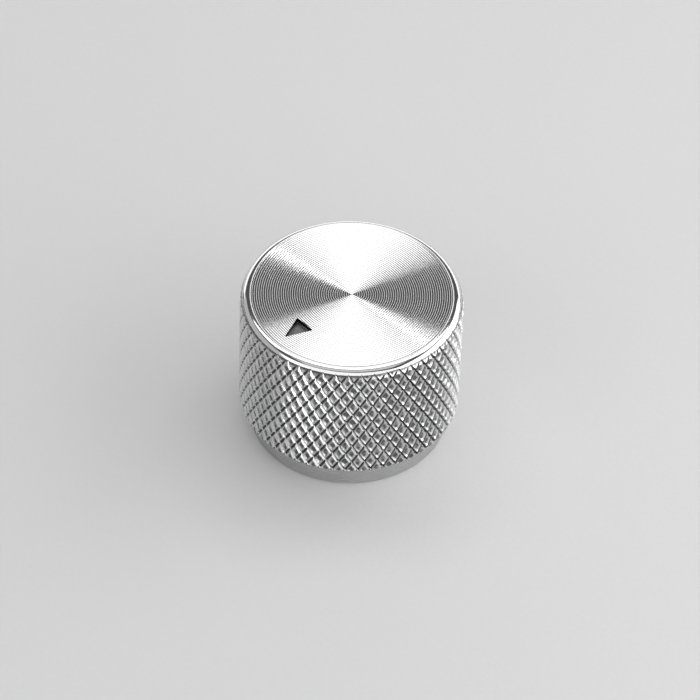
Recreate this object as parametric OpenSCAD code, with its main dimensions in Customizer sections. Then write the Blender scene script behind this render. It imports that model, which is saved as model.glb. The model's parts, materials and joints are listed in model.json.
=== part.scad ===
// Turned control knob for a plain 6 mm shaft. Millimetres, +Z up along the shaft.
// The origin is the centre of the base, the pointer looks along -Y and the
// clamping screw comes in from +Y.

/* [Body] */
// Diameter over the crests of the knurl
body_d = 25; // [22:0.5:32]
// Height from the base to the turned face
body_h = 19; // [18:0.5:25]
// Step in from the crests of the knurl to the plain neck at the base
neck_step = 1.25; // [0.8:0.05:1.6]
// Height of the plain neck, up to where it opens out to the knurl
neck_h = 2.3; // [1:0.1:4]
// Chamfer round the foot of the neck
foot_chamfer = 0.2; // [0.1:0.05:0.6]

/* [Top edge] */
// Width of the rounded and bevelled edge, from the flat face out to the crests
edge_w = 1.1; // [0.9:0.05:2]
// Radius of the rounding between the face and the bevel
edge_r = 1; // [0.2:0.1:1.2]

/* [Knurl] */
// Grooves of each hand round the body
knurl_count = 54; // [36:2:60]
// Slope of the grooves from the axis, in degrees
knurl_angle = 30; // [25:1:36]
// Depth of the grooves below the crests
knurl_depth = 0.36; // [0.2:0.02:0.5]
// Size of the blunt top of a diamond, as a share of the diamond
crest_share = 0.42; // [0.3:0.02:0.6]
// Depth of the hollow left in the blunt top
crest_hollow = 0.16; // [0.05:0.01:0.18]
// Turn of the pattern away from the pointer, in degrees
knurl_turn = 5.4; // [0:0.1:6]
// Height of the top groove crossings above their run-out on the bevel
knurl_lead = 0.12; // [0.08:0.02:0.4]
// Height of the crests above the grooves where they start, at the foot of the bevel
crest_start = 0.1; // [0.04:0.01:0.16]
// Height over which the crests rise from there to their full radius
crest_run = 0.65; // [0.4:0.05:1]

/* [Pointer] */
// Width of the sunk triangle at its inner side
pointer_w = 2.6; // [1.5:0.1:4]
// Length of the triangle, out to its tip
pointer_l = 3.1; // [2:0.1:3.6]
// Distance from the tip of the triangle to the rim of the flat face
pointer_edge = 1.3; // [0.5:0.1:3]
// Depth of the triangle below the face
pointer_depth = 0.7; // [0.2:0.1:1]
// Radius in the corners of the triangle
pointer_corner = 0.08; // [0.04:0.01:0.3]

/* [Shaft bore] */
// Diameter of the shaft that the knob takes
shaft_d = 6; // [4:0.1:6.4]
// Room round the shaft, on the radius
shaft_room = 0.025; // [0.01:0.005:0.05]
// Length of the straight bore above the recess
bore_l = 12; // [10:0.5:12.4]
// Chamfer at the mouth of the bore
bore_chamfer = 0.4; // [0.2:0.1:0.8]
// Point angle of the drill that made the bore, in degrees
drill_angle = 118; // [118:2:140]
// Diameter of the recess over the panel nut
recess_d = 15; // [10:0.5:17]
// Depth of the recess over the panel nut
recess_h = 3; // [1:0.1:3.4]

/* [Clamping screw] */
// Thread diameter of the screw
screw_d = 3; // [2.8:0.1:4]
// Length of the screw
screw_l = 6; // [5:0.5:7]
// Height of the screw above the base
screw_z = 9; // [8:0.5:11]
// Room round the screw, on the radius
screw_room = 0.05; // [0.02:0.01:0.1]
// Gap between the screw tip and the wall of the bore
screw_back = 0.3; // [0.2:0.1:0.8]
// Chamfer at both ends of the screw
screw_chamfer = 0.4; // [0.2:0.05:0.5]
// Width across the flats of the hexagon socket
socket_af = 1.5; // [1:0.1:1.6]
// Depth of the hexagon socket
socket_h = 2; // [1:0.1:2.5]
// Diameter of the cup in the screw tip
cup_d = 1.4; // [0.8:0.1:1.6]
// Countersink where the screw hole meets the knurl
hole_chamfer = 0.4; // [0.2:0.1:0.8]

/* [Hidden] */
$fn = 96;
// How far a cut runs past the face that it opens
over = 1;

body_r = body_d / 2;
neck_r = body_r - neck_step;
face_r = body_r - edge_w;
groove_r = body_r - knurl_depth;
pointer_from = face_r - pointer_edge - pointer_l;
bore_r = shaft_d / 2 + shaft_room;
hole_r = screw_d / 2 + screw_room;

// The bevel leaves the rounding at 45 degrees and falls to the body
bevel_start_r = face_r + edge_r * sin(45);
bevel_start_z = body_h - edge_r * (1 - cos(45));
function bevel_z(r) = bevel_start_z - (r - bevel_start_r);
// The neck opens out to the body at 45 degrees too
function flare_z(r) = neck_h + (r - neck_r);
// The rolls raise the crests least at the edge, so the bevel ends inside the full
// radius, and a steep cone that just clears the crests takes them up to it
crest_clear = 0.02;
bevel_end_r = max(groove_r + crest_start, bevel_start_r + crest_clear);

// The grooves of the two hands cross in level rows, half a pitch apart
step = 360 / knurl_count;
row_h = PI * body_d / knurl_count / tan(knurl_angle) / 2;
top_row_z = bevel_z(groove_r) + knurl_lead;
rows = ceil((top_row_z - flare_z(groove_r) + knurl_lead) / row_h);
per_diamond = 5;

screw_tip_y = bore_r + screw_back;

// Outline of the turned blank, from the axis out and round. It runs on past the
// crests, so that the knurl alone gives the grip its surface
module blank_outline() {
    clear_r = body_r + over;
    crest_z = bevel_z(bevel_end_r) - crest_run;
    edge = [for (a = [45 : 15 : 90])
        [face_r + edge_r * cos(a), body_h - edge_r + edge_r * sin(a)]];
    polygon(concat(
        [[0, 0], [neck_r - foot_chamfer, 0], [neck_r, foot_chamfer], [neck_r, neck_h],
         [clear_r, flare_z(clear_r)], [clear_r, crest_z], [body_r + crest_clear, crest_z],
         [bevel_end_r, bevel_z(bevel_end_r)]],
        edge,
        [[0, body_h]]));
}

function at(r, angle, z) = [r * cos(angle), r * sin(angle), z];
function row_z(j) = top_row_z - j * row_h;
function crossing_angle(i, j) = knurl_turn - 90 + step * (i + (j % 2) / 2);

// Index of a groove crossing, and of a crown point of the diamond to its right:
// crown points 0 to 3 lie left, below, right and above, and 4 is the hollow
function crossing(i, j) = j * knurl_count + (i % knurl_count);
function crown(i, j, k) =
    (rows + 1) * knurl_count + crossing(i, j) * per_diamond + k;
// The flanks of a diamond rise flat from its crossings towards one peak, and the
// blunt top cuts them off at crest_share of the way back from that peak
function crown_point(i, j, k) =
    let (middle = crossing_angle(i, j) + step / 2,
         peak = at(groove_r + knurl_depth / (1 - crest_share), middle, row_z(j)))
    k == 4 ? at(body_r - crest_hollow, middle, row_z(j)) :
    let (foot = at(groove_r, middle + [-1, 0, 1, 0][k] * step / 2,
                   row_z(j) + [0, -1, 0, 1][k] * row_h))
    peak + crest_share * (foot - peak);

// The four crossings round diamond i of row j, in the order of its crown points
function corner(i, j, k) =
    k == 0 ? crossing(i, j) :
    k == 1 ? crossing(i + j % 2, j + 1) :
    k == 2 ? crossing(i + 1, j) :
             crossing(i + j % 2, j - 1);
function diamond_faces(i, j, sides) = [for (k = sides) let (n = (k + 1) % 4)
    each [[crown(i, j, k), crown(i, j, n), corner(i, j, n), corner(i, j, k)],
          [crown(i, j, 4), crown(i, j, n), crown(i, j, k)]]];

// The edge of the pattern along one row of crossings
function row_edge(j) = [for (i = [0 : knurl_count - 1])
    each [crossing(i, j), crown(i, j, 0), crown(i, j, 4), crown(i, j, 2)]];

// A log with the diamonds on it, longer than the knob at both ends
module knurled_log() {
    pattern = concat(
        [for (j = [0 : rows]) for (i = [0 : knurl_count - 1])
            at(groove_r, crossing_angle(i, j), row_z(j))],
        [for (j = [0 : rows]) for (i = [0 : knurl_count - 1]) for (k = [0 : 4])
            crown_point(i, j, k)]);
    ends = [body_h + over, -over];
    edges = [row_edge(0), row_edge(rows)];
    around = len(edges[0]);
    first = len(pattern);
    run_out = [for (e = [0, 1]) for (m = edges[e])
        [pattern[m][0], pattern[m][1], ends[e]]];
    centres = [for (z = ends) [0, 0, z]];
    points = concat(pattern, run_out, centres);
    end_faces = [for (e = [0, 1]) for (m = [0 : around - 1])
        let (n = (m + 1) % around,
             far = first + e * around,
             hub = first + 2 * around + e,
             side = [edges[e][m], edges[e][n], far + n, far + m],
             cap = [far + m, far + n, hub])
        each e == 0 ? [[side[3], side[2], side[1], side[0]], [cap[2], cap[1], cap[0]]]
                    : [side, cap]];
    faces = concat(
        [for (j = [1 : rows - 1]) for (i = [0 : knurl_count - 1])
            each diamond_faces(i, j, [0, 1, 2, 3])],
        [for (i = [0 : knurl_count - 1]) each diamond_faces(i, 0, [0, 1])],
        [for (i = [0 : knurl_count - 1]) each diamond_faces(i, rows, [2, 3])],
        end_faces);
    polyhedron(points, faces);
}

// Straight bore with a chamfered mouth and the cone that the drill leaves
module shaft_bore() {
    translate([0, 0, -over]) cylinder(d = recess_d, h = recess_h + over);
    rotate_extrude() polygon([
        [0, recess_h - over],
        [bore_r + bore_chamfer, recess_h - over],
        [bore_r + bore_chamfer, recess_h],
        [bore_r, recess_h + bore_chamfer],
        [bore_r, recess_h + bore_l],
        [0, recess_h + bore_l + bore_r / tan(drill_angle / 2)]]);
}

// Plain hole for the clamping screw, from inside the bore out through the knurl
module screw_hole() {
    translate([0, 0, screw_z]) rotate([-90, 0, 0]) {
        cylinder(r = hole_r, h = body_r + over);
        translate([0, 0, groove_r - hole_chamfer])
            cylinder(r1 = hole_r, r2 = hole_r + hole_chamfer + knurl_depth + over,
                     h = hole_chamfer + knurl_depth + over);
    }
}

// Triangle with rounded corners, its inner side towards the axis
module pointer_outline() {
    half = pointer_w / 2;
    slope = atan(half / pointer_l);
    corners = [
        [[half, 0], -90, slope],
        [[0, pointer_l], slope, 180 - slope],
        [[-half, 0], 180 - slope, 270]];
    polygon([for (c = corners)
        let (bisector = (c[1] + c[2]) / 2,
             back = pointer_corner / cos((c[2] - c[1]) / 2))
        for (t = [0 : 0.25 : 1])
            c[0] - back * [cos(bisector), sin(bisector)]
                + pointer_corner * [cos(c[1] + t * (c[2] - c[1])),
                                    sin(c[1] + t * (c[2] - c[1]))]]);
}

module pointer_pocket() {
    translate([0, -pointer_from, body_h - pointer_depth]) mirror([0, 1, 0])
        linear_extrude(pointer_depth + over) pointer_outline();
}

// One turned piece: neck, knurled grip, bevel and face
module knob_body() {
    color("silver") difference() {
        intersection() {
            rotate_extrude() blank_outline();
            knurled_log();
        }
        shaft_bore();
        screw_hole();
        pointer_pocket();
    }
}

// Headless screw with a hexagon socket, its cup tip towards the shaft
module set_screw() {
    r = screw_d / 2;
    tip = r - screw_chamfer;
    color("dimgray") translate([0, screw_tip_y, screw_z]) rotate([-90, 0, 0]) difference() {
        rotate_extrude() polygon([
            [0, 0], [tip, 0], [r, screw_chamfer],
            [r, screw_l - screw_chamfer], [tip, screw_l], [0, screw_l]]);
        translate([0, 0, screw_l - socket_h])
            cylinder(d = socket_af / cos(30), h = socket_h + over, $fn = 6);
        translate([0, 0, -over])
            cylinder(r1 = cup_d / 2 + over, r2 = 0, h = cup_d / 2 + over);
    }
}

knob_body();
set_screw();
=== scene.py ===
"""Looks of a turned aluminium control knob: ring-turned face with a sunk triangle pointer,
rolled diamond knurl, plain neck, blind shaft bore, and a threaded clamping screw.

Everything is in metres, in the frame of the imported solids: +Z up along the shaft, the
pointer towards -Y, the clamping screw in from +Y."""

import json
import math
import random

import bmesh
import bpy
from mathutils import Matrix, Vector


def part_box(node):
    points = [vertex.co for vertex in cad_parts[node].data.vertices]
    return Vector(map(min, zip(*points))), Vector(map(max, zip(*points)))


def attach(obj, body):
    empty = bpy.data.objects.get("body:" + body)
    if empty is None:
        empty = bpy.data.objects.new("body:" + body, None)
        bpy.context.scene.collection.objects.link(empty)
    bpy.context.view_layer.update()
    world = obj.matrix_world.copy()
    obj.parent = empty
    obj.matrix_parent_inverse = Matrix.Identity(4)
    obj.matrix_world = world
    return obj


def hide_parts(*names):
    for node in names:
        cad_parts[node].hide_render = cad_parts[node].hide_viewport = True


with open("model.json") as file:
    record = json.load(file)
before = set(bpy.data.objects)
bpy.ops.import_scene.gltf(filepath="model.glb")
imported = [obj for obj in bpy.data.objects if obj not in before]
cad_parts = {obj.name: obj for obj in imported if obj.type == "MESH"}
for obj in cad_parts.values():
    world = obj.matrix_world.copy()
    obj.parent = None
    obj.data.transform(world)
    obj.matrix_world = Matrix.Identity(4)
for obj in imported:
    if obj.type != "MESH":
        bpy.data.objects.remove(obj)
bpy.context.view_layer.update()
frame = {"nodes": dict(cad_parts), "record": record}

MM = 0.001

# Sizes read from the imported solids
BODY_POINTS = [v.co for v in frame["nodes"]["knob_body"].data.vertices]
BODY_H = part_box("knob_body")[1].z
CREST_R = max(math.hypot(p.x, p.y) for p in BODY_POINTS)
SHAFT_BORE = frame["record"]["mounts"][0]
BORE_R = SHAFT_BORE["dims"]["r_mm"] * MM
BORE_TOP = SHAFT_BORE["pos_m"][2] + SHAFT_BORE["dims"]["length_mm"] * MM
SCREW_LOW, SCREW_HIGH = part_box("set_screw")
SCREW_R = (SCREW_HIGH.x - SCREW_LOW.x) / 2
SCREW_Z = (SCREW_HIGH.z + SCREW_LOW.z) / 2
SCREW_TIP_Y = SCREW_LOW.y
SCREW_HEAD_Y = SCREW_HIGH.y

# Turned outline, with a bevel and a cone under the grip of the same slope
SLOPE = math.radians(45)
EDGE_W = 1.1 * MM
EDGE_R = 1.0 * MM
EDGE_STEPS = 8
NECK_H = 2.3 * MM
NECK_R = max(math.hypot(p.x, p.y) for p in BODY_POINTS if p.z < NECK_H / 2)
FOOT_CHAMFER = 0.2 * MM
BORE_CHAMFER = 0.4 * MM
RECESS_R = 7.5 * MM
RECESS_H = 3.0 * MM
DRILL_HALF_ANGLE = math.radians(59)
TURNED_SEGMENTS = 192
FACE_R = CREST_R - EDGE_W

# Rings that the turning tool leaves on the face, one at each turn of the spindle
RING_PITCH = 0.25 * MM
RING_DEPTH = 0.018 * MM
RING_STEPS = 4

# Rolled knurl. Its top groove crossings lie a lead above their run-out on the bevel. There
# the crests start a little above the grooves, and over a run they reach their full radius,
# from where the blank is clear of them.
KNURL_COUNT = 54
KNURL_ANGLE = math.radians(30)
KNURL_DEPTH = 0.36 * MM
KNURL_TURN = math.radians(5.4)
KNURL_LEAD = 0.12 * MM
CREST_START = 0.10 * MM
CREST_RUN = 0.65 * MM
CREST_CLEAR = 0.02 * MM
# Places across a diamond, as shares of its side, where its section changes: from its lower
# left side to its upper right one, the same in its side grooves, and from its upper left side
# to its lower right one
ACROSS = [0.0, 0.05, 0.12, 0.29, 0.60, 0.79, 0.97, 1.0]
ACROSS_GROOVE = [0.0, 0.05, 0.07, 0.29, 0.60, 0.90, 0.97, 1.0]
ALONG = [0.0, 0.06, 0.14, 0.32, 0.66, 0.86, 0.94, 1.0]
# Heights of the flanks at these places, in depths of the knurl
FLANK_ACROSS = [0.0, 0.30, 1.0, 1.0, 1.0, 1.0, 0.30, 0.0]
FLANK_ALONG = [0.50, 0.55, 1.0, 1.0, 1.0, 1.0, 0.55, 0.50]
# The rim is this many places in from the sides, and worn down by up to this much. Inside it
# is the hollow, at this height, more or less.
RIM = 2
RIM_WEAR = 0.07
HOLLOW_H = 0.40
HOLLOW_SPREAD = 0.20
DIAMOND_KINDS = 7
KNURL_SEED = 5

# Sunk pointer
POINTER_W = 2.6 * MM
POINTER_L = 3.1 * MM
POINTER_EDGE = 1.3 * MM
POINTER_DEPTH = 0.7 * MM
POINTER_CORNER = 0.08 * MM
POINTER_CORNER_STEPS = 4
POINTER_FILLET = 0.06 * MM

# Clamping screw and its threaded hole
THREAD_PITCH = 0.5 * MM
THREAD_DEPTH = 0.27 * MM
THREAD_SEGMENTS = 32
THREAD_STEPS = 8
SCREW_ROOM = 0.05 * MM
SCREW_CHAMFER = 0.4 * MM
HOLE_CHAMFER = 0.4 * MM
HOLE_SEGMENTS = 64
SOCKET_AF = 1.5 * MM
SOCKET_H = 2.0 * MM
CUP_R = 0.7 * MM
CUP_SEGMENTS = 48

# How far a cutter runs past the face that it opens
OVER = 1.0 * MM
# Points nearer than this are the same
SAME_POINT = 0.001 * MM
# Turning ridges fold by more than this, and the steps of a round stretch by less
SHARP_ANGLE = math.radians(24)

# The photograph's view, as a pinhole camera whose lens and sensor are in millimetres
VIEW_AZIMUTH = math.radians(46.3)
VIEW_ELEVATION = math.radians(45.65)
VIEW_ROLL = math.radians(-1.746)
VIEW_DISTANCE = 541.3 * MM
VIEW_LENS = 243.7
VIEW_SENSOR = 36
VIEW_REACH = (0.02, 20)
# Where the base's centre lies in the view, right of and above its middle
BASE_RIGHT = -0.187 * MM
BASE_UP = -7.07 * MM

# Studio
WORLD_LIGHT = (0.08, 0.08, 0.08, 1.0)
LAMP_DISTANCE = 0.8
FLOOR_HALF = 2.0

# Finishes of the body, in the order of its material slots
FINISHES = ["turned_face", "turned_side", "rolled_knurl", "knurl_groove", "knurl_hollow",
            "bored_inside", "pocket_floor", "pocket_wall", "tapped_hole"]


# Node trees

def new_tree(name, kind, inputs, outputs):
    """A node tree with those sockets, each a name, a type and a default, and its two ends."""
    tree = bpy.data.node_groups.new(name, kind)
    for socket_name, socket_type, default in inputs:
        socket = tree.interface.new_socket(socket_name, in_out="INPUT", socket_type=socket_type)
        if default is not None:
            socket.default_value = default
    for socket_name, socket_type in outputs:
        tree.interface.new_socket(socket_name, in_out="OUTPUT", socket_type=socket_type)
    return tree, tree.nodes.new("NodeGroupInput"), tree.nodes.new("NodeGroupOutput")


def feed(tree, socket, value):
    """Sets a socket, or links it if the value is another node's output."""
    if isinstance(value, bpy.types.NodeSocket):
        tree.links.new(value, socket)
    elif value is not None:
        socket.default_value = value


def place(tree, kind, inputs=None, **settings):
    """A new node with its settings and its inputs, which go by name or by number."""
    node = tree.nodes.new(kind)
    for key, value in settings.items():
        setattr(node, key, value)
    for key, value in (inputs or {}).items():
        feed(tree, node.inputs[key], value)
    return node


def calc(tree, operation, first, second=None, third=None):
    """The output of a Math node."""
    node = tree.nodes.new("ShaderNodeMath")
    node.operation = operation
    for socket, value in zip(node.inputs, (first, second, third)):
        feed(tree, socket, value)
    return node.outputs[0]


def vector(tree, x, y, z):
    """The output of a Combine XYZ node."""
    return place(tree, "ShaderNodeCombineXYZ", {0: x, 1: y, 2: z}).outputs[0]


# Meshes

def linked(name, data):
    """A new object in the scene."""
    made = bpy.data.objects.new(name, data)
    bpy.context.scene.collection.objects.link(made)
    return made


def give_slots(mesh, materials):
    """Lays out a mesh's material slots anew. Its faces are given theirs after this."""
    mesh.materials.clear()
    for material in materials:
        mesh.materials.append(material)


def new_object(name, bm, materials):
    """A linked object made from a bmesh, with those material slots."""
    mesh = bpy.data.meshes.new(name)
    give_slots(mesh, materials)
    bm.to_mesh(mesh)
    bm.free()
    return linked(name, mesh)


def discard(*objects):
    """Removes helper objects and their meshes."""
    for helper in objects:
        mesh = helper.data
        bpy.data.objects.remove(helper)
        bpy.data.meshes.remove(mesh)


def plain_mesh(source, name):
    """The evaluated mesh of an object as a new object, in place of the source."""
    graph = bpy.context.evaluated_depsgraph_get()
    mesh = bpy.data.meshes.new_from_object(source.evaluated_get(graph), depsgraph=graph)
    discard(source)
    mesh.name = name
    return linked(name, mesh)


def combine(base, tool, operation):
    """The base after one boolean operation with a closed tool, which is used up."""
    cut = base.modifiers.new("cut", "BOOLEAN")
    cut.object = tool
    cut.operation = operation
    cut.solver = "MANIFOLD"
    made = plain_mesh(base, base.name)
    discard(tool)
    return made


def shade(piece):
    """Smooth faces, with a sharp edge wherever the surface folds."""
    bm = bmesh.new()
    bm.from_mesh(piece.data)
    for face in bm.faces:
        face.smooth = True
    for edge in bm.edges:
        edge.smooth = edge.is_manifold and edge.calc_face_angle() < SHARP_ANGLE
    bm.to_mesh(piece.data)
    bm.free()


def around(radius, angle, z):
    """A point at that radius, angle and height about the axis."""
    return Vector((radius * math.cos(angle), radius * math.sin(angle), z))


def turned(name, outline, segments, materials):
    """A closed solid of revolution. The outline is a list of radius, height and the finish of
    the stretch that leads to that point, from one place on the axis to another."""
    bm = bmesh.new()
    rings = []
    for radius, z, _ in outline:
        count = 1 if radius == 0 else segments
        rings.append([bm.verts.new(around(radius, math.tau * s / segments, z))
                      for s in range(count)])
    for (upper, lower), (_, _, finish) in zip(zip(rings, rings[1:]), outline[1:]):
        for s in range(segments):
            n = (s + 1) % segments
            corners = [upper[s % len(upper)], lower[s % len(lower)],
                       lower[n % len(lower)], upper[n % len(upper)]]
            face = bm.faces.new(list(dict.fromkeys(corners)))
            face.material_index = finish
    bmesh.ops.recalc_face_normals(bm, faces=bm.faces)
    return new_object(name, bm, materials)


def prism(name, rings, materials, finishes):
    """A closed solid through rings of as many points each, its two ends filled. The finishes
    are those of the stretches between the rings, and the last one is that of the ends."""
    bm = bmesh.new()
    loops = [[bm.verts.new(p) for p in ring] for ring in rings]
    for (upper, lower), finish in zip(zip(loops, loops[1:]), finishes):
        for s in range(len(upper)):
            n = (s + 1) % len(upper)
            bm.faces.new([upper[s], lower[s], lower[n], upper[n]]).material_index = finish
    for end in (loops[0], loops[-1]):
        bm.faces.new(end).material_index = finishes[-1]
    bmesh.ops.recalc_face_normals(bm, faces=bm.faces)
    return new_object(name, bm, materials)


# The turned blank

def bevel_z(radius):
    """Height of the bevel, which leaves the rounding of the top edge and falls to the grip."""
    start_r = FACE_R + EDGE_R * math.sin(SLOPE)
    start_z = BODY_H - EDGE_R * (1 - math.cos(SLOPE))
    return start_z - (radius - start_r) * math.tan(SLOPE)


def flare_z(radius):
    """Height of the cone in which the neck opens out to the grip."""
    return NECK_H + (radius - NECK_R) * math.tan(SLOPE)


def blank_outline():
    """The turned blank from the middle of its face, out, down and back up its bore."""
    face, side = FINISHES.index("turned_face"), FINISHES.index("turned_side")
    crest, inside = FINISHES.index("knurl_hollow"), FINISHES.index("bored_inside")
    clear_r = CREST_R + OVER
    bevel_end_r = CREST_R - KNURL_DEPTH + CREST_START
    crest_z = bevel_z(bevel_end_r) - CREST_RUN
    outline = []
    # Each ring is a shallow round hollow between two ridges
    for step in range(int(FACE_R / RING_PITCH) * RING_STEPS + 1):
        share = step / RING_STEPS % 1
        sunk = RING_DEPTH * (1 - (2 * share - 1) ** 2)
        outline.append((step * RING_PITCH / RING_STEPS, BODY_H - sunk, face))
    for step in range(EDGE_STEPS + 1):
        tilt = SLOPE * step / EDGE_STEPS
        outline.append((FACE_R + EDGE_R * math.sin(tilt),
                        BODY_H - EDGE_R * (1 - math.cos(tilt)), face))
    outline += [
        (bevel_end_r, bevel_z(bevel_end_r), face),
        (CREST_R + CREST_CLEAR, crest_z, crest),
        (clear_r, crest_z, crest),
        (clear_r, flare_z(clear_r), side),
        (NECK_R, NECK_H, side),
        (NECK_R, FOOT_CHAMFER, side),
        (NECK_R - FOOT_CHAMFER, 0, side),
        (RECESS_R, 0, inside),
        (RECESS_R, RECESS_H, inside),
        (BORE_R + BORE_CHAMFER, RECESS_H, inside),
        (BORE_R, RECESS_H + BORE_CHAMFER, inside),
        (BORE_R, BORE_TOP, inside),
        (0, BORE_TOP + BORE_R / math.tan(DRILL_HALF_ANGLE), inside),
    ]
    return outline


# The knurl

GROOVE_R = CREST_R - KNURL_DEPTH
STEP = math.tau / KNURL_COUNT
ROW_H = math.pi * CREST_R / KNURL_COUNT / math.tan(KNURL_ANGLE)
TOP_ROW_Z = bevel_z(GROOVE_R) + KNURL_LEAD
ROWS = math.ceil((TOP_ROW_Z - flare_z(GROOVE_R) + KNURL_LEAD) / ROW_H) + 1


def diamond(name, rng):
    """One diamond of the knurl, bent round the axis at angle 0 and height 0. Its rim is a
    little uneven and its blunt top keeps a rough hollow, different on each kind."""
    bm = bmesh.new()
    hollow = bm.faces.layers.float.new("hollow")
    # Faces along the lower left side and in the side grooves of one hand are marked for painted
    # shade
    dull = bm.faces.layers.float.new("dull")
    last = len(ALONG) - 1
    points = {}
    for i in range(last + 1):
        for j, q in enumerate(ALONG):
            ring = min(i, last - i, j, last - j)
            height = min(FLANK_ACROSS[i], FLANK_ALONG[j])
            p = ACROSS_GROOVE[i] if min(j, last - j) < RIM else ACROSS[i]
            if ring > RIM:
                height = HOLLOW_H + rng.uniform(-HOLLOW_SPREAD, HOLLOW_SPREAD)
            elif ring == RIM:
                height -= rng.uniform(0.0, RIM_WEAR)
            angle = (p + q - 1) * STEP / 2
            z = (p - q) * ROW_H
            points[i, j] = bm.verts.new(around(GROOVE_R + height * KNURL_DEPTH, angle, z))
    for i in range(last):
        for j in range(last):
            face = bm.faces.new([points[i, j], points[i, j + 1],
                                 points[i + 1, j + 1], points[i + 1, j]])
            face[hollow] = float(min(i, last - 1 - i, j, last - 1 - j) >= RIM)
            face[dull] = float(i == 0 or (i < last - RIM and min(j, last - 1 - j) < RIM))
    bmesh.ops.recalc_face_normals(bm, faces=bm.faces)
    return new_object(name, bm, [])


def lattice_tree():
    """Places one of the diamonds of a collection at each cell of the knurl."""
    tree, start, end = new_tree(
        "knurl_lattice", "GeometryNodeTree",
        [("Diamonds", "NodeSocketCollection", None),
         ("Kinds", "NodeSocketInt", 1),
         ("Columns", "NodeSocketInt", 1),
         ("Rows", "NodeSocketInt", 1),
         ("Row height", "NodeSocketFloat", 0.0),
         ("Top row", "NodeSocketFloat", 0.0),
         ("Turn", "NodeSocketFloat", 0.0),
         ("Seed", "NodeSocketInt", 0),
         ("Material", "NodeSocketMaterial", None),
         ("Dull material", "NodeSocketMaterial", None),
         ("Hollow material", "NodeSocketMaterial", None)],
        [("Geometry", "NodeSocketGeometry")])
    asked = start.outputs
    cells = place(tree, "GeometryNodeMeshLine",
                  {"Count": calc(tree, "MULTIPLY", asked["Columns"], asked["Rows"])})
    index = place(tree, "GeometryNodeInputIndex").outputs[0]
    row = calc(tree, "FLOOR", calc(tree, "DIVIDE", index, asked["Columns"]))
    column = calc(tree, "MODULO", index, asked["Columns"])
    offset = calc(tree, "DIVIDE", calc(tree, "MODULO", row, 2.0), 2.0)
    share = calc(tree, "DIVIDE", calc(tree, "ADD", column, offset), asked["Columns"])
    angle = calc(tree, "MULTIPLY_ADD", share, math.tau, asked["Turn"])
    height = calc(tree, "SUBTRACT", asked["Top row"],
                  calc(tree, "MULTIPLY", row, asked["Row height"]))
    seated = place(tree, "GeometryNodeSetPosition",
                   {"Geometry": cells.outputs[0], "Position": vector(tree, 0.0, 0.0, height)})
    kinds = place(tree, "GeometryNodeCollectionInfo",
                  {"Collection": asked["Diamonds"], "Separate Children": True})
    pick = place(tree, "FunctionNodeRandomValue", data_type="INT")
    # Its sockets for whole numbers share their names with others, so they go by number
    feed(tree, pick.inputs[4], 0)
    feed(tree, pick.inputs[5], calc(tree, "SUBTRACT", asked["Kinds"], 1.0))
    feed(tree, pick.inputs["Seed"], asked["Seed"])
    turn = place(tree, "FunctionNodeEulerToRotation", {0: vector(tree, 0.0, 0.0, angle)})
    copies = place(tree, "GeometryNodeInstanceOnPoints",
                   {"Points": seated.outputs[0], "Instance": kinds.outputs[0],
                    "Pick Instance": True, "Instance Index": pick.outputs[2],
                    "Rotation": turn.outputs[0]})
    real = place(tree, "GeometryNodeRealizeInstances", {"Geometry": copies.outputs[0]})
    dressed = place(tree, "GeometryNodeSetMaterial",
                    {"Geometry": real.outputs[0], "Material": asked["Material"]})
    # Faces marked for painted shade, and those of the hollow, get their own materials
    for mark, socket in (("dull", "Dull material"), ("hollow", "Hollow material")):
        marked = place(tree, "GeometryNodeInputNamedAttribute", {"Name": mark})
        dressed = place(tree, "GeometryNodeSetMaterial",
                        {"Geometry": dressed.outputs[0], "Selection": marked.outputs[0],
                         "Material": asked[socket]})
    tree.links.new(dressed.outputs[0], end.inputs["Geometry"])
    return tree


def grown(name, tree, values):
    """The plain mesh that a tree makes with those inputs."""
    source = new_object(name + "_source", bmesh.new(), [])
    modifier = source.modifiers.new(name, "NODES")
    modifier.node_group = tree
    for item in tree.interface.items_tree:
        if item.item_type == "SOCKET" and item.in_out == "INPUT" and item.name in values:
            modifier[item.identifier] = values[item.name]
    return plain_mesh(source, name)


def close_log(bm):
    """Draws both open ends of the log out past the knob and closes them."""
    bmesh.ops.remove_doubles(bm, verts=bm.verts, dist=SAME_POINT)
    open_edges = [e for e in bm.edges if e.is_boundary]
    for above in (True, False):
        rim = [e for e in open_edges if (e.verts[0].co.z > BODY_H / 2) == above]
        end_z = BODY_H + OVER if above else -OVER
        run_out = bmesh.ops.extrude_edge_only(bm, edges=rim)["geom"]
        for vertex in (g for g in run_out if isinstance(g, bmesh.types.BMVert)):
            vertex.co.z = end_z
        hub = bm.verts.new((0, 0, end_z))
        for edge in [g for g in run_out if isinstance(g, bmesh.types.BMEdge)]:
            if edge.is_boundary and all(abs(v.co.z - end_z) < SAME_POINT for v in edge.verts):
                bm.faces.new([edge.verts[0], edge.verts[1], hub])
    bmesh.ops.recalc_face_normals(bm, faces=bm.faces)


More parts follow.
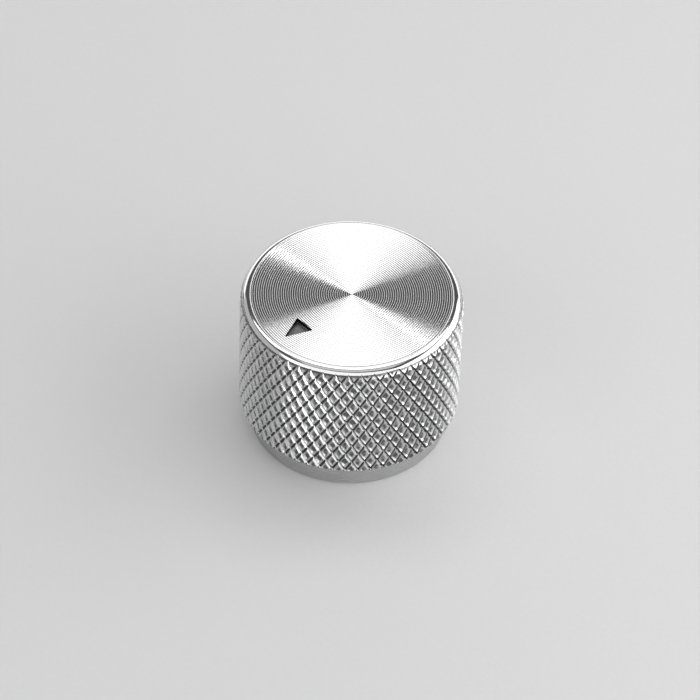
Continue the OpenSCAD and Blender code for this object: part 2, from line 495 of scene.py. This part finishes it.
def knurled_log(materials):
    """A closed log with the diamonds on it, longer than the knob at both ends."""
    rng = random.Random(KNURL_SEED)
    box = bpy.data.collections.new("diamond_kinds")
    kinds = [diamond(f"diamond_{k}", rng) for k in range(DIAMOND_KINDS)]
    for kind in kinds:
        box.objects.link(kind)
        bpy.context.scene.collection.objects.unlink(kind)
    # The turn is that of a crossing from the pointer, and a diamond lies half a step on
    first_angle = KNURL_TURN - math.radians(90) + STEP / 2
    log = grown("knurled_log", lattice_tree(), {
        "Diamonds": box, "Kinds": DIAMOND_KINDS, "Columns": KNURL_COUNT, "Rows": ROWS,
        "Row height": ROW_H, "Top row": TOP_ROW_Z, "Turn": first_angle, "Seed": KNURL_SEED,
        "Material": materials[FINISHES.index("rolled_knurl")],
        "Dull material": materials[FINISHES.index("knurl_groove")],
        "Hollow material": materials[FINISHES.index("knurl_hollow")]})
    discard(*kinds)
    bpy.data.collections.remove(box)

    bm = bmesh.new()
    bm.from_mesh(log.data)
    close_log(bm)
    laid = {slot: materials.index(material)
            for slot, material in enumerate(log.data.materials) if material}
    for face in bm.faces:
        face.material_index = laid.get(face.material_index, FINISHES.index("rolled_knurl"))
    give_slots(log.data, materials)
    bm.to_mesh(log.data)
    bm.free()
    return log


# The threads

def thread_tree():
    """A threaded rod along +Z from height 0, closed at both ends, whose thread fades out
    over a taper at each end."""
    tree, start, end = new_tree(
        "thread", "GeometryNodeTree",
        [("Radius", "NodeSocketFloat", 0.0),
         ("Depth", "NodeSocketFloat", 0.0),
         ("Pitch", "NodeSocketFloat", 1.0),
         ("Length", "NodeSocketFloat", 0.0),
         ("Taper", "NodeSocketFloat", 0.0),
         ("Start", "NodeSocketFloat", 0.0),
         ("Segments", "NodeSocketInt", 8),
         ("Steps", "NodeSocketInt", 8),
         ("Material", "NodeSocketMaterial", None)],
        [("Geometry", "NodeSocketGeometry")])
    asked = start.outputs
    turns = calc(tree, "DIVIDE", asked["Length"], asked["Pitch"])
    rod = place(tree, "GeometryNodeMeshCylinder",
                {"Vertices": asked["Segments"],
                 "Side Segments": calc(tree, "MULTIPLY", turns, asked["Steps"]),
                 "Radius": asked["Radius"], "Depth": asked["Length"]},
                fill_type="TRIANGLE_FAN")
    where = place(tree, "ShaderNodeSeparateXYZ",
                  {0: place(tree, "GeometryNodeInputPosition").outputs[0]}).outputs
    height = calc(tree, "MULTIPLY_ADD", asked["Length"], 0.5, where[2])
    angle = calc(tree, "DIVIDE", calc(tree, "ARCTAN2", where[1], where[0]), math.tau)
    along = calc(tree, "DIVIDE", calc(tree, "ADD", height, asked["Start"]), asked["Pitch"])
    wave = calc(tree, "PINGPONG", calc(tree, "SUBTRACT", along, angle), 0.5)
    groove = calc(tree, "MULTIPLY", calc(tree, "MULTIPLY", wave, 2.0), asked["Depth"])
    from_end = calc(tree, "MINIMUM", height, calc(tree, "SUBTRACT", asked["Length"], height))
    ended = calc(tree, "MAXIMUM", calc(tree, "SUBTRACT", asked["Taper"], from_end), 0.0)
    radius = calc(tree, "SUBTRACT", asked["Radius"], calc(tree, "MAXIMUM", groove, ended))
    share = calc(tree, "DIVIDE", radius, asked["Radius"])
    on_rim = calc(tree, "GREATER_THAN",
                  calc(tree, "ADD", calc(tree, "ABSOLUTE", where[0]),
                       calc(tree, "ABSOLUTE", where[1])),
                  calc(tree, "MULTIPLY", asked["Radius"], 0.5))
    cut = place(tree, "GeometryNodeSetPosition",
                {"Geometry": rod.outputs[0], "Selection": on_rim,
                 "Position": vector(tree, calc(tree, "MULTIPLY", where[0], share),
                                    calc(tree, "MULTIPLY", where[1], share), height)})
    hubs = place(tree, "GeometryNodeSetPosition",
                 {"Geometry": cut.outputs[0],
                  "Selection": calc(tree, "SUBTRACT", 1.0, on_rim),
                  "Offset": vector(tree, 0.0, 0.0,
                                   calc(tree, "MULTIPLY", asked["Length"], 0.5))})
    real = place(tree, "GeometryNodeRealizeInstances", {"Geometry": hubs.outputs[0]})
    dressed = place(tree, "GeometryNodeSetMaterial",
                    {"Geometry": real.outputs[0], "Material": asked["Material"]})
    tree.links.new(dressed.outputs[0], end.inputs["Geometry"])
    return tree


def lay_along_screw(piece, from_y):
    """Turns a rod that stands at height 0 onto the screw's line, starting at that Y."""
    piece.data.transform(Matrix.Translation((0, from_y, SCREW_Z))
                         @ Matrix.Rotation(math.radians(-90), 4, "X"))


def threaded_rod(name, tree, radius, from_y, to_y, taper, finish, materials):
    """A threaded rod on the screw's line. Rods of any radius share one helix, so a screw
    stays clear of its hole by the same room all along."""
    rod = grown(name, tree, {
        "Radius": radius, "Depth": THREAD_DEPTH, "Pitch": THREAD_PITCH, "Length": to_y - from_y,
        "Taper": taper, "Start": from_y, "Segments": THREAD_SEGMENTS, "Steps": THREAD_STEPS,
        "Material": materials[finish]})
    lay_along_screw(rod, from_y)
    give_slots(rod.data, materials)
    rod.data.polygons.foreach_set("material_index", [finish] * len(rod.data.polygons))
    return rod


def countersink(materials):
    """Cone where the screw hole meets the knurl."""
    hole_r = SCREW_R + SCREW_ROOM
    deep = HOLE_CHAMFER + KNURL_DEPTH + OVER
    finish = FINISHES.index("tapped_hole")
    cone = turned("countersink",
                  [(0, 0, finish), (hole_r, 0, finish), (hole_r + deep, deep, finish),
                   (0, deep, finish)], HOLE_SEGMENTS, materials)
    lay_along_screw(cone, GROOVE_R - HOLE_CHAMFER)
    return cone


# The pointer

def pointer_ring(z, inset):
    """The triangle's outline at that height, drawn in by an inset, its corners rounded."""
    half = POINTER_W / 2
    slope = math.atan(half / POINTER_L)
    quarter = math.radians(90)
    from_axis = FACE_R - POINTER_EDGE - POINTER_L
    corner_r = POINTER_CORNER - inset
    ring = []
    for (x, y), first, last in (
            ((half, 0), -quarter, slope),
            ((0, POINTER_L), slope, math.pi - slope),
            ((-half, 0), math.pi - slope, math.pi + quarter)):
        middle = (first + last) / 2
        back = POINTER_CORNER / math.cos((last - first) / 2)
        for step in range(POINTER_CORNER_STEPS + 1):
            angle = first + (last - first) * step / POINTER_CORNER_STEPS
            ring.append(Vector((
                x - back * math.cos(middle) + corner_r * math.cos(angle),
                -(from_axis + y - back * math.sin(middle) + corner_r * math.sin(angle)), z)))
    return ring


def pointer_cutter(materials):
    """What is cut away for the sunk triangle, with a fillet round its floor."""
    floor_z = BODY_H - POINTER_DEPTH
    wall, floor = FINISHES.index("pocket_wall"), FINISHES.index("pocket_floor")
    return prism("pointer_cutter",
                 [pointer_ring(BODY_H + OVER, 0), pointer_ring(floor_z + POINTER_FILLET, 0),
                  pointer_ring(floor_z, POINTER_FILLET)],
                 materials, [wall, floor, floor])


# Shared effects

def turning_lines_group():
    """Fine lines that a cutting tool leaves round the axis. Across is the distance over which
    they change, and Wander says how often a line fades and comes back on its way round."""
    tree, start, end = new_tree(
        "turning_lines", "ShaderNodeTree",
        [("Across", "NodeSocketFloat", 0.0),
         ("Spacing", "NodeSocketFloat", 1.0),
         ("Wander", "NodeSocketFloat", 1.0)],
        [("Lines", "NodeSocketFloat")])
    asked = start.outputs
    where = place(tree, "ShaderNodeTexCoord").outputs["Object"]
    flat = place(tree, "ShaderNodeVectorMath", {0: where, 1: (1.0, 1.0, 0.0)},
                 operation="MULTIPLY").outputs[0]
    heading = place(tree, "ShaderNodeVectorMath", {0: flat}, operation="NORMALIZE").outputs[0]
    round_axis = place(tree, "ShaderNodeVectorMath",
                       {0: heading, "Scale": asked["Wander"]}, operation="SCALE").outputs[0]
    lifted = place(tree, "ShaderNodeVectorMath",
                   {0: round_axis,
                    1: vector(tree, 0.0, 0.0,
                              calc(tree, "DIVIDE", asked["Across"], asked["Spacing"]))},
                   operation="ADD").outputs[0]
    noise = place(tree, "ShaderNodeTexNoise",
                  {"Vector": lifted, "Scale": 1.0, "Detail": 3.0, "Roughness": 0.6})
    tree.links.new(noise.outputs[0], end.inputs["Lines"])
    return tree


def grain_group():
    """Even fine grain of that size in all directions."""
    tree, start, end = new_tree("fine_grain", "ShaderNodeTree",
                                [("Size", "NodeSocketFloat", 1.0)],
                                [("Grain", "NodeSocketFloat")])
    where = place(tree, "ShaderNodeTexCoord").outputs["Object"]
    scaled = place(tree, "ShaderNodeVectorMath",
                   {0: where, "Scale": calc(tree, "DIVIDE", 1.0, start.outputs["Size"])},
                   operation="SCALE").outputs[0]
    noise = place(tree, "ShaderNodeTexNoise",
                  {"Vector": scaled, "Scale": 1.0, "Detail": 4.0, "Roughness": 0.65})
    tree.links.new(noise.outputs[0], end.inputs["Grain"])
    return tree


def axis_group():
    """Distance from the knob's axis and height above its base."""
    tree, _, end = new_tree("axis_distance", "ShaderNodeTree", [],
                            [("Radius", "NodeSocketFloat"), ("Height", "NodeSocketFloat")])
    where = place(tree, "ShaderNodeTexCoord").outputs["Object"]
    flat = place(tree, "ShaderNodeVectorMath", {0: where, 1: (1.0, 1.0, 0.0)},
                 operation="MULTIPLY").outputs[0]
    radius = place(tree, "ShaderNodeVectorMath", {0: flat}, operation="LENGTH")
    height = place(tree, "ShaderNodeSeparateXYZ", {0: where}).outputs[2]
    tree.links.new(radius.outputs["Value"], end.inputs["Radius"])
    tree.links.new(height, end.inputs["Height"])
    return tree


TURNING_LINES = turning_lines_group()
FINE_GRAIN = grain_group()
AXIS_DISTANCE = axis_group()


def grouped(tree, group, inputs=None):
    """A shared effect placed in a material, as its outputs."""
    node = tree.nodes.new("ShaderNodeGroup")
    node.node_tree = group
    for key, value in (inputs or {}).items():
        feed(tree, node.inputs[key], value)
    return node.outputs


def between(tree, mask, low, high):
    """A value that goes from low to high with a mask of 0 to 1."""
    return calc(tree, "MULTIPLY_ADD", mask, high - low, low)


def tint(tree, mask, low, high):
    """A colour that goes from low to high with a mask of 0 to 1."""
    mix = place(tree, "ShaderNodeMix", data_type="RGBA")
    # Its sockets for colours share their names with others, so they go by number
    feed(tree, mix.inputs[0], mask)
    feed(tree, mix.inputs[6], (*low, 1.0))
    feed(tree, mix.inputs[7], (*high, 1.0))
    return mix.outputs[2]


def surface(name, metallic):
    """A new material with its Principled shader."""
    material = bpy.data.materials.new(name)
    material.use_nodes = True
    shader = material.node_tree.nodes["Principled BSDF"]
    shader.inputs["Metallic"].default_value = metallic
    return material, material.node_tree, shader


def finish_with(tree, shader, colour, roughness, height, depth):
    """Links a finish into its shader, with a bump of that depth."""
    bump = place(tree, "ShaderNodeBump", {"Strength": 1.0, "Distance": depth, "Height": height})
    tree.links.new(colour, shader.inputs["Base Color"])
    tree.links.new(roughness, shader.inputs["Roughness"])
    tree.links.new(bump.outputs[0], shader.inputs["Normal"])


# Materials

def cut_metal(name, across, spacing, wander, low, high, roughness, bump):
    """Metal with a cutting tool's fine lines, which follow one another across the radius,
    the height or both. Its two roughnesses are those of the low and the high colour."""
    material, tree, shader = surface(name, 1.0)
    axis = grouped(tree, AXIS_DISTANCE)
    ways = [axis[way] for way in across]
    distance = ways[0] if len(ways) == 1 else calc(tree, "ADD", *ways)
    lines = grouped(tree, TURNING_LINES, {"Across": distance, "Spacing": spacing,
                                          "Wander": wander})["Lines"]
    finish_with(tree, shader, tint(tree, lines, low, high), between(tree, lines, *roughness),
                lines, bump)
    return material


def metal_with_painted_depth_shade(name, foot, top, patches, size, low, high, roughness, bump):
    """Metal whose colour is painted dark below one height over the grooves and brightens up to
    another, both in depths of the knurl: painted shade in its grooves and hollows. Patches is
    the share of its colour that follows the grain instead."""
    material, tree, shader = surface(name, 1.0)
    axis = grouped(tree, AXIS_DISTANCE)
    grain = grouped(tree, FINE_GRAIN, {"Size": size})["Grain"]
    painted_depth_shade = place(tree, "ShaderNodeMapRange",
                 {"Value": axis["Radius"], "From Min": GROOVE_R + foot * KNURL_DEPTH,
                  "From Max": GROOVE_R + top * KNURL_DEPTH},
                 interpolation_type="SMOOTHSTEP").outputs[0]
    mask = calc(tree, "MULTIPLY_ADD", painted_depth_shade, 1 - patches,
                calc(tree, "MULTIPLY", grain, patches))
    finish_with(tree, shader, tint(tree, mask, low, high), between(tree, grain, *roughness),
                grain, bump)
    return material


def grained(name, metallic, size, low, high, roughness, bump):
    """A surface with an even fine grain."""
    material, tree, shader = surface(name, metallic)
    grain = grouped(tree, FINE_GRAIN, {"Size": size})["Grain"]
    finish_with(tree, shader, tint(tree, grain, low, high), between(tree, grain, *roughness),
                grain, bump)
    return material


def turned_face():
    """Bright metal straight from the tool, with finer lines inside each ring."""
    return cut_metal("turned_face", across=["Radius"], spacing=0.05 * MM, wander=8.0,
                     low=(0.84, 0.84, 0.845), high=(0.90, 0.90, 0.905),
                     roughness=(0.12, 0.07), bump=0.0003 * MM)


def turned_side():
    """The neck and its cone: a plainer turned finish, its colour painted darker than the face's
    metal as painted shade, in place of a dark reflection.
    """
    return cut_metal("turned_side", across=["Height"], spacing=0.06 * MM, wander=3.0,
                     low=(0.42, 0.42, 0.425), high=(0.66, 0.66, 0.665),
                     roughness=(0.34, 0.22), bump=0.008 * MM)


def rolled_knurl():
    """Flanks and rims of bright metal, its colour painted dark down in the grooves as painted
    shade.
    """
    return metal_with_painted_depth_shade("rolled_knurl", foot=0.05, top=0.45, patches=0.0, size=0.10 * MM,
                        low=(0.07, 0.07, 0.07), high=(0.76, 0.76, 0.765),
                        roughness=(0.30, 0.20), bump=0.004 * MM)


def knurl_groove():
    """The grooves of one hand and the foot of the others: rougher, and their colour painted
    darker than the rest of the knurl and darkest deep down, as painted shade on the sides that
    face away from the lamps.
    """
    return metal_with_painted_depth_shade("knurl_groove", foot=0.48, top=1.00, patches=0.0, size=0.10 * MM,
                        low=(0.06, 0.06, 0.06), high=(0.60, 0.60, 0.605),
                        roughness=(0.40, 0.28), bump=0.008 * MM)


def knurl_hollow():
    """The rough hollow that the rolls leave in the middle of a diamond, its colour painted dark
    deep down as painted shade and partly following the grain.
    """
    return metal_with_painted_depth_shade("knurl_hollow", foot=0.35, top=0.80, patches=0.3, size=0.16 * MM,
                        low=(0.03, 0.03, 0.03), high=(0.88, 0.88, 0.885),
                        roughness=(0.36, 0.24), bump=0.035 * MM)


def bored_inside():
    """Recess and bore, with the lines of the drill and the boring tool."""
    return cut_metal("bored_inside", across=["Height", "Radius"], spacing=0.10 * MM,
                     wander=4.0, low=(0.62, 0.62, 0.63), high=(0.80, 0.80, 0.81),
                     roughness=(0.42, 0.26), bump=0.012 * MM)


def milled(name, low, high, roughness):
    """Satin metal left by a small cutter."""
    return grained(name, 1.0, size=0.08 * MM, low=low, high=high, roughness=roughness,
                   bump=0.010 * MM)


def blackened_steel():
    """Black oxide finish, a little worn and oily."""
    return grained("blackened_steel", 1.0, size=0.2 * MM, low=(0.05, 0.05, 0.055),
                   high=(0.14, 0.14, 0.15), roughness=(0.42, 0.26), bump=0.008 * MM)


def pale_table():
    """Plain pale surface with a trace of tooth."""
    return grained("pale_table", 0.0, size=0.6 * MM, low=(0.72, 0.72, 0.72),
                   high=(0.76, 0.76, 0.76), roughness=(0.60, 0.70), bump=0.02 * MM)


# The pieces

def body_materials():
    """The body's materials, in the order of its finishes."""
    return [
        turned_face(), turned_side(), rolled_knurl(), knurl_groove(), knurl_hollow(),
        bored_inside(),
        milled("pocket_floor", (0.23, 0.23, 0.23), (0.29, 0.29, 0.29), (0.53, 0.37)),
        # The pocket's walls are painted near black, as painted shade
        milled("pocket_wall", (0.03, 0.03, 0.03), (0.05, 0.05, 0.05), (0.53, 0.37)),
        milled("tapped_hole", (0.40, 0.40, 0.41), (0.60, 0.60, 0.61), (0.43, 0.27))]


def make_body(thread):
    """The blank, knurled, with its screw hole and its pointer cut."""
    materials = body_materials()
    body = turned("knob_body_turned", blank_outline(), TURNED_SEGMENTS, materials)
    body = combine(body, knurled_log(materials), "INTERSECT")
    hole = threaded_rod("screw_hole", thread, SCREW_R + SCREW_ROOM, 0, GROOVE_R + OVER, 0,
                        FINISHES.index("tapped_hole"), materials)
    for cutter in (hole, countersink(materials), pointer_cutter(materials)):
        body = combine(body, cutter, "DIFFERENCE")
    shade(body)
    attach(body, "root")
    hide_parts("knob_body")


def socket_cutter(materials):
    """Hexagon socket at the head of the screw."""
    corner_r = SOCKET_AF / 2 / math.cos(math.radians(30))
    length = SCREW_HEAD_Y - SCREW_TIP_Y
    socket = prism("socket_cutter",
                   [[around(corner_r, math.radians(60 * k), z) for k in range(6)]
                    for z in (length + OVER, length - SOCKET_H)], materials, [0, 0])
    lay_along_screw(socket, SCREW_TIP_Y)
    return socket


def cup_cutter(materials):
    """Hollow cone at the tip of the screw."""
    cup = turned("cup_cutter", [(0, CUP_R, 0), (CUP_R + OVER, -OVER, 0), (0, -OVER, 0)],
                 CUP_SEGMENTS, materials)
    lay_along_screw(cup, SCREW_TIP_Y)
    return cup


def make_screw(thread):
    """The clamping screw, with its socket and its cup."""
    materials = [blackened_steel()]
    screw = threaded_rod("set_screw_threaded", thread, SCREW_R, SCREW_TIP_Y, SCREW_HEAD_Y,
                         SCREW_CHAMFER, 0, materials)
    for cutter in (socket_cutter(materials), cup_cutter(materials)):
        screw = combine(screw, cutter, "DIFFERENCE")
    shade(screw)
    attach(screw, "root")
    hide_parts("set_screw")


# Camera and studio

AWAY = Vector((-math.sin(VIEW_AZIMUTH), math.cos(VIEW_AZIMUTH), 0))
RIGHT = Vector((math.cos(VIEW_AZIMUTH), math.sin(VIEW_AZIMUTH), 0))
UP = Vector((0, 0, 1))


def make_camera():
    """The photograph's camera."""
    look = AWAY * math.cos(VIEW_ELEVATION) - UP * math.sin(VIEW_ELEVATION)
    level_up = AWAY * math.sin(VIEW_ELEVATION) + UP * math.cos(VIEW_ELEVATION)
    image_right = RIGHT * math.cos(VIEW_ROLL) - level_up * math.sin(VIEW_ROLL)
    image_up = RIGHT * math.sin(VIEW_ROLL) + level_up * math.cos(VIEW_ROLL)
    place_at = -BASE_RIGHT * image_right - BASE_UP * image_up - VIEW_DISTANCE * look
    data = bpy.data.cameras.new("view")
    data.lens = VIEW_LENS
    data.sensor_width = VIEW_SENSOR
    data.clip_start, data.clip_end = VIEW_REACH
    camera = linked("view", data)
    axes = Matrix((image_right, image_up, -look)).transposed()
    camera.matrix_world = Matrix.Translation(place_at) @ axes.to_4x4()
    bpy.context.scene.camera = camera


def softbox(name, azimuth, elevation, width, height, radiance, distance=LAMP_DISTANCE, lean=0):
    """A rectangular soft lamp that faces the knob. Its azimuth is 0 at the view's right and
    90 straight away from it, its place and size are in degrees as the knob sees them, its
    radiance is the brightness at which it shows in a mirror, and its lean lifts its right."""
    azimuth, elevation = math.radians(azimuth), math.radians(elevation)
    level = RIGHT * math.cos(azimuth) + AWAY * math.sin(azimuth)
    towards = level * math.cos(elevation) + UP * math.sin(elevation)
    across = UP.cross(level)
    lamp = bpy.data.lights.new(name, "AREA")
    lamp.shape = "RECTANGLE"
    lamp.size = 2 * distance * math.tan(math.radians(width / 2))
    lamp.size_y = 2 * distance * math.tan(math.radians(height / 2))
    lamp.energy = radiance * math.pi * lamp.size * lamp.size_y
    box = linked(name, lamp)
    box.visible_camera = False
    axes = Matrix((across, towards.cross(across), towards)).transposed()
    box.matrix_world = (Matrix.Translation(towards * distance) @ axes.to_4x4()
                        @ Matrix.Rotation(-math.radians(lean), 4, "Z"))


def make_studio():
    """Soft lamps all round, a low world light and a pale floor."""
    softbox("overhead_back", azimuth=90, elevation=66, width=60, height=22, radiance=1.8)
    softbox("back", azimuth=90, elevation=16, width=90, height=24, radiance=1.2)
    softbox("strip", azimuth=90, elevation=45.5, width=7, height=20, radiance=1.0)
    softbox("top", azimuth=270, elevation=84, width=50, height=24, radiance=0.55)
    softbox("front", azimuth=258, elevation=44, width=90, height=38, radiance=1.0)
    softbox("left", azimuth=180, elevation=28, width=84, height=40, radiance=0.4)
    softbox("right", azimuth=2, elevation=28, width=84, height=44, radiance=1.6)
    softbox("low_right", azimuth=-20, elevation=8, width=96, height=14, radiance=4.6,
            distance=0.22)
    softbox("ray", azimuth=75.3, elevation=53.6, width=13, height=0.8, radiance=6.5,
            lean=34.3)
    world = bpy.data.worlds.new("studio")
    world.use_nodes = True
    world.node_tree.nodes["Background"].inputs["Color"].default_value = WORLD_LIGHT
    bpy.context.scene.world = world
    bm = bmesh.new()
    bmesh.ops.create_grid(bm, x_segments=1, y_segments=1, size=FLOOR_HALF)
    new_object("table", bm, [pale_table()])


make_camera()
make_studio()
screw_thread = thread_tree()
make_body(screw_thread)
make_screw(screw_thread)

bpy.context.scene.view_settings.view_transform = "Standard"
